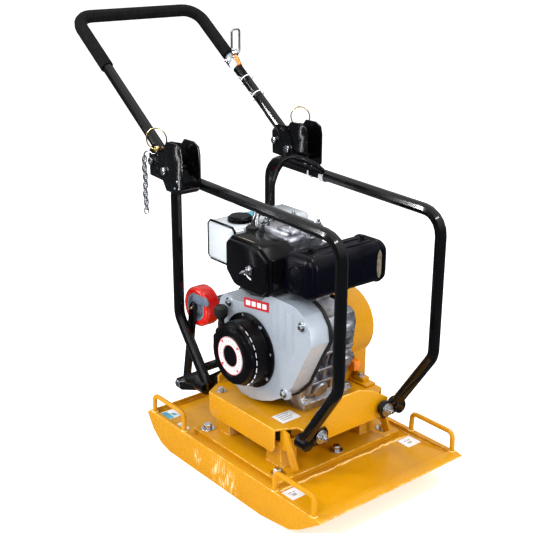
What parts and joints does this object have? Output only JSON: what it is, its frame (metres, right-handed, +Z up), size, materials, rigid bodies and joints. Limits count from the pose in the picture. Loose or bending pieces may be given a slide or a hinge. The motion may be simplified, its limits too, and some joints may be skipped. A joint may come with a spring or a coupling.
{
  "type": "plate compactor",
  "caption": "Walk-behind plate compactor with a diesel engine, belt-driven exciter, tube frame, folding handle and swing-down wheels.",
  "frame": {"origin": "middle of the machine's width on the flat sole of the base plate", "axes": "+X is the direction of travel, +Z is up, and -Y is the side with the recoil starter"},
  "size_m": [1.0337, 0.46, 1.0742],
  "materials": {
    "amber_paint": "amber-yellow gloss paint",
    "black_paint": "gloss black powder coat",
    "rubber": "matt",
    "grip_foam": "matt foam",
    "red_tyre": "smooth red polyurethane",
    "hub_plastic": "grey",
    "yellow_zinc": "yellow zinc plated",
    "cast_alloy": "die cast",
    "cast_iron": "machined cast iron",
    "grey_paint": "silver-grey painted sheet and casting",
    "black_plastic": "gloss black",
    "satin_black": "satin black",
    "heat_black": null,
    "tank_white": "light grey, painted",
    "zinc_steel": "bright zinc plated"
  },
  "bodies": {
    "machine": {"air_cleaner": "black_plastic", "base_plate": "amber_paint", "bearing_cap_left": "amber_paint", "bearing_cap_right": "amber_paint", "belt_guard": "amber_paint", "carrier_bolt_left": "zinc_steel", "carrier_bolt_right": "zinc_steel", "carry_handle_front_left": "amber_paint", "carry_handle_front_right": "amber_paint", "carry_handle_rear_left": "amber_paint", "carry_handle_rear_right": "amber_paint", "cover_plate": "amber_paint", "crankcase": "cast_alloy", "cylinder": "cast_alloy", "drive_belt": "rubber", "engine_deck": "amber_paint", "exciter_bed": "amber_paint", "exciter_housing": "amber_paint", "fan_casing": "grey_paint", "frame_bush_front_left": "rubber", "frame_bush_front_right": "rubber", "frame_bush_rear_left": "rubber", "frame_bush_rear_right": "rubber", "frame_cross_bar": "black_paint", "frame_loop_left": "black_paint", "frame_loop_right": "black_paint", "fuel_tank": "tank_white", "handle_bracket_left": "black_paint", "handle_bracket_right": "black_paint", "muffler": "heat_black", "pivot_bolt_left": "zinc_steel", "pivot_bolt_right": "zinc_steel", "recoil_starter": "satin_black", "rocker_cover": "cast_alloy", "rubber_mount_front_left": "rubber", "rubber_mount_front_right": "rubber", "rubber_mount_rear_left": "rubber", "rubber_mount_rear_right": "rubber", "stop_bolt_left": "zinc_steel", "stop_bolt_right": "zinc_steel", "throttle_cable_lower": "rubber"},
    "handle": {"handle_bar": "black_paint", "foam_grip": "grip_foam", "throttle_clamp": "zinc_steel", "throttle_cable_upper": "rubber"},
    "throttle_lever": {"throttle_lever": "zinc_steel"},
    "lock_pin_right": {"lock_pin_right": "yellow_zinc"},
    "lock_pin_left": {"lock_pin_left": "yellow_zinc"},
    "wheel_carrier": {"wheel_carrier": "black_paint"},
    "wheel_right": {"wheel_hub_right": "hub_plastic", "tyre_right": "red_tyre"},
    "wheel_left": {"wheel_hub_left": "hub_plastic", "tyre_left": "red_tyre"},
    "crank_train": {"crankshaft": "zinc_steel", "flywheel": "cast_iron", "clutch_pulley": "zinc_steel"},
    "eccentric": {"eccentric_shaft": "zinc_steel", "exciter_pulley": "zinc_steel"},
    "starter_grip": {"starter_grip": "rubber"},
    "fuel_cap": {"fuel_cap": "black_plastic"}
  },
  "joints": [
    {"name": "handle_fold", "type": "hinge", "parent": "machine", "child": "handle", "pos_m": [-0.277, 0, 0.74], "axis": [0, 1, 0], "range_deg": [0, 142], "deforming": ["throttle_cable_upper", "throttle_cable_lower"]},
    {"name": "throttle_turn", "type": "hinge", "parent": "handle", "child": "throttle_lever", "pos_m": [-0.52984, 0.1898, 0.95683], "axis": [0, 1, 0], "range_deg": [-25, 60]},
    {"name": "lock_pin_right_pull", "type": "slide", "parent": "machine", "child": "lock_pin_right", "axis": [0, -1, 0], "range_m": [0, 0.02]},
    {"name": "lock_pin_left_pull", "type": "slide", "parent": "machine", "child": "lock_pin_left", "axis": [0, 1, 0], "range_m": [0, 0.02]},
    {"name": "wheel_carrier_swing", "type": "hinge", "parent": "machine", "child": "wheel_carrier", "pos_m": [-0.335, 0, 0.15], "axis": [0, -1, 0], "range_deg": [0, 140]},
    {"name": "wheel_right_spin", "type": "hinge", "parent": "wheel_carrier", "child": "wheel_right", "pos_m": [-0.297, -0.1, 0.368], "axis": [0, 1, 0], "continuous": true},
    {"name": "wheel_left_spin", "type": "hinge", "parent": "wheel_carrier", "child": "wheel_left", "pos_m": [-0.297, 0.1, 0.368], "axis": [0, 1, 0], "continuous": true},
    {"name": "crankshaft_spin", "type": "hinge", "parent": "machine", "child": "crank_train", "pos_m": [-0.07, 0, 0.33], "axis": [0, 1, 0], "continuous": true},
    {"name": "eccentric_spin", "type": "hinge", "parent": "machine", "child": "eccentric", "pos_m": [-0.066, 0, 0.14], "axis": [0, 1, 0], "continuous": true},
    {"name": "starter_pull", "type": "slide", "parent": "machine", "child": "starter_grip", "axis": [0, -0.6, 0.8], "range_m": [0, 0.5], "stiffness_N_per_m": 12, "springref_m": -0.4},
    {"name": "fuel_cap_turn", "type": "hinge", "parent": "machine", "child": "fuel_cap", "pos_m": [-0.1825, -0.066, 0.612], "axis": [0, 0, 1], "range_deg": [0, 90]}
  ],
  "couplings": [
    {"joint": "eccentric_spin", "follows": "crankshaft_spin", "ratio": 1.5}
  ]
}
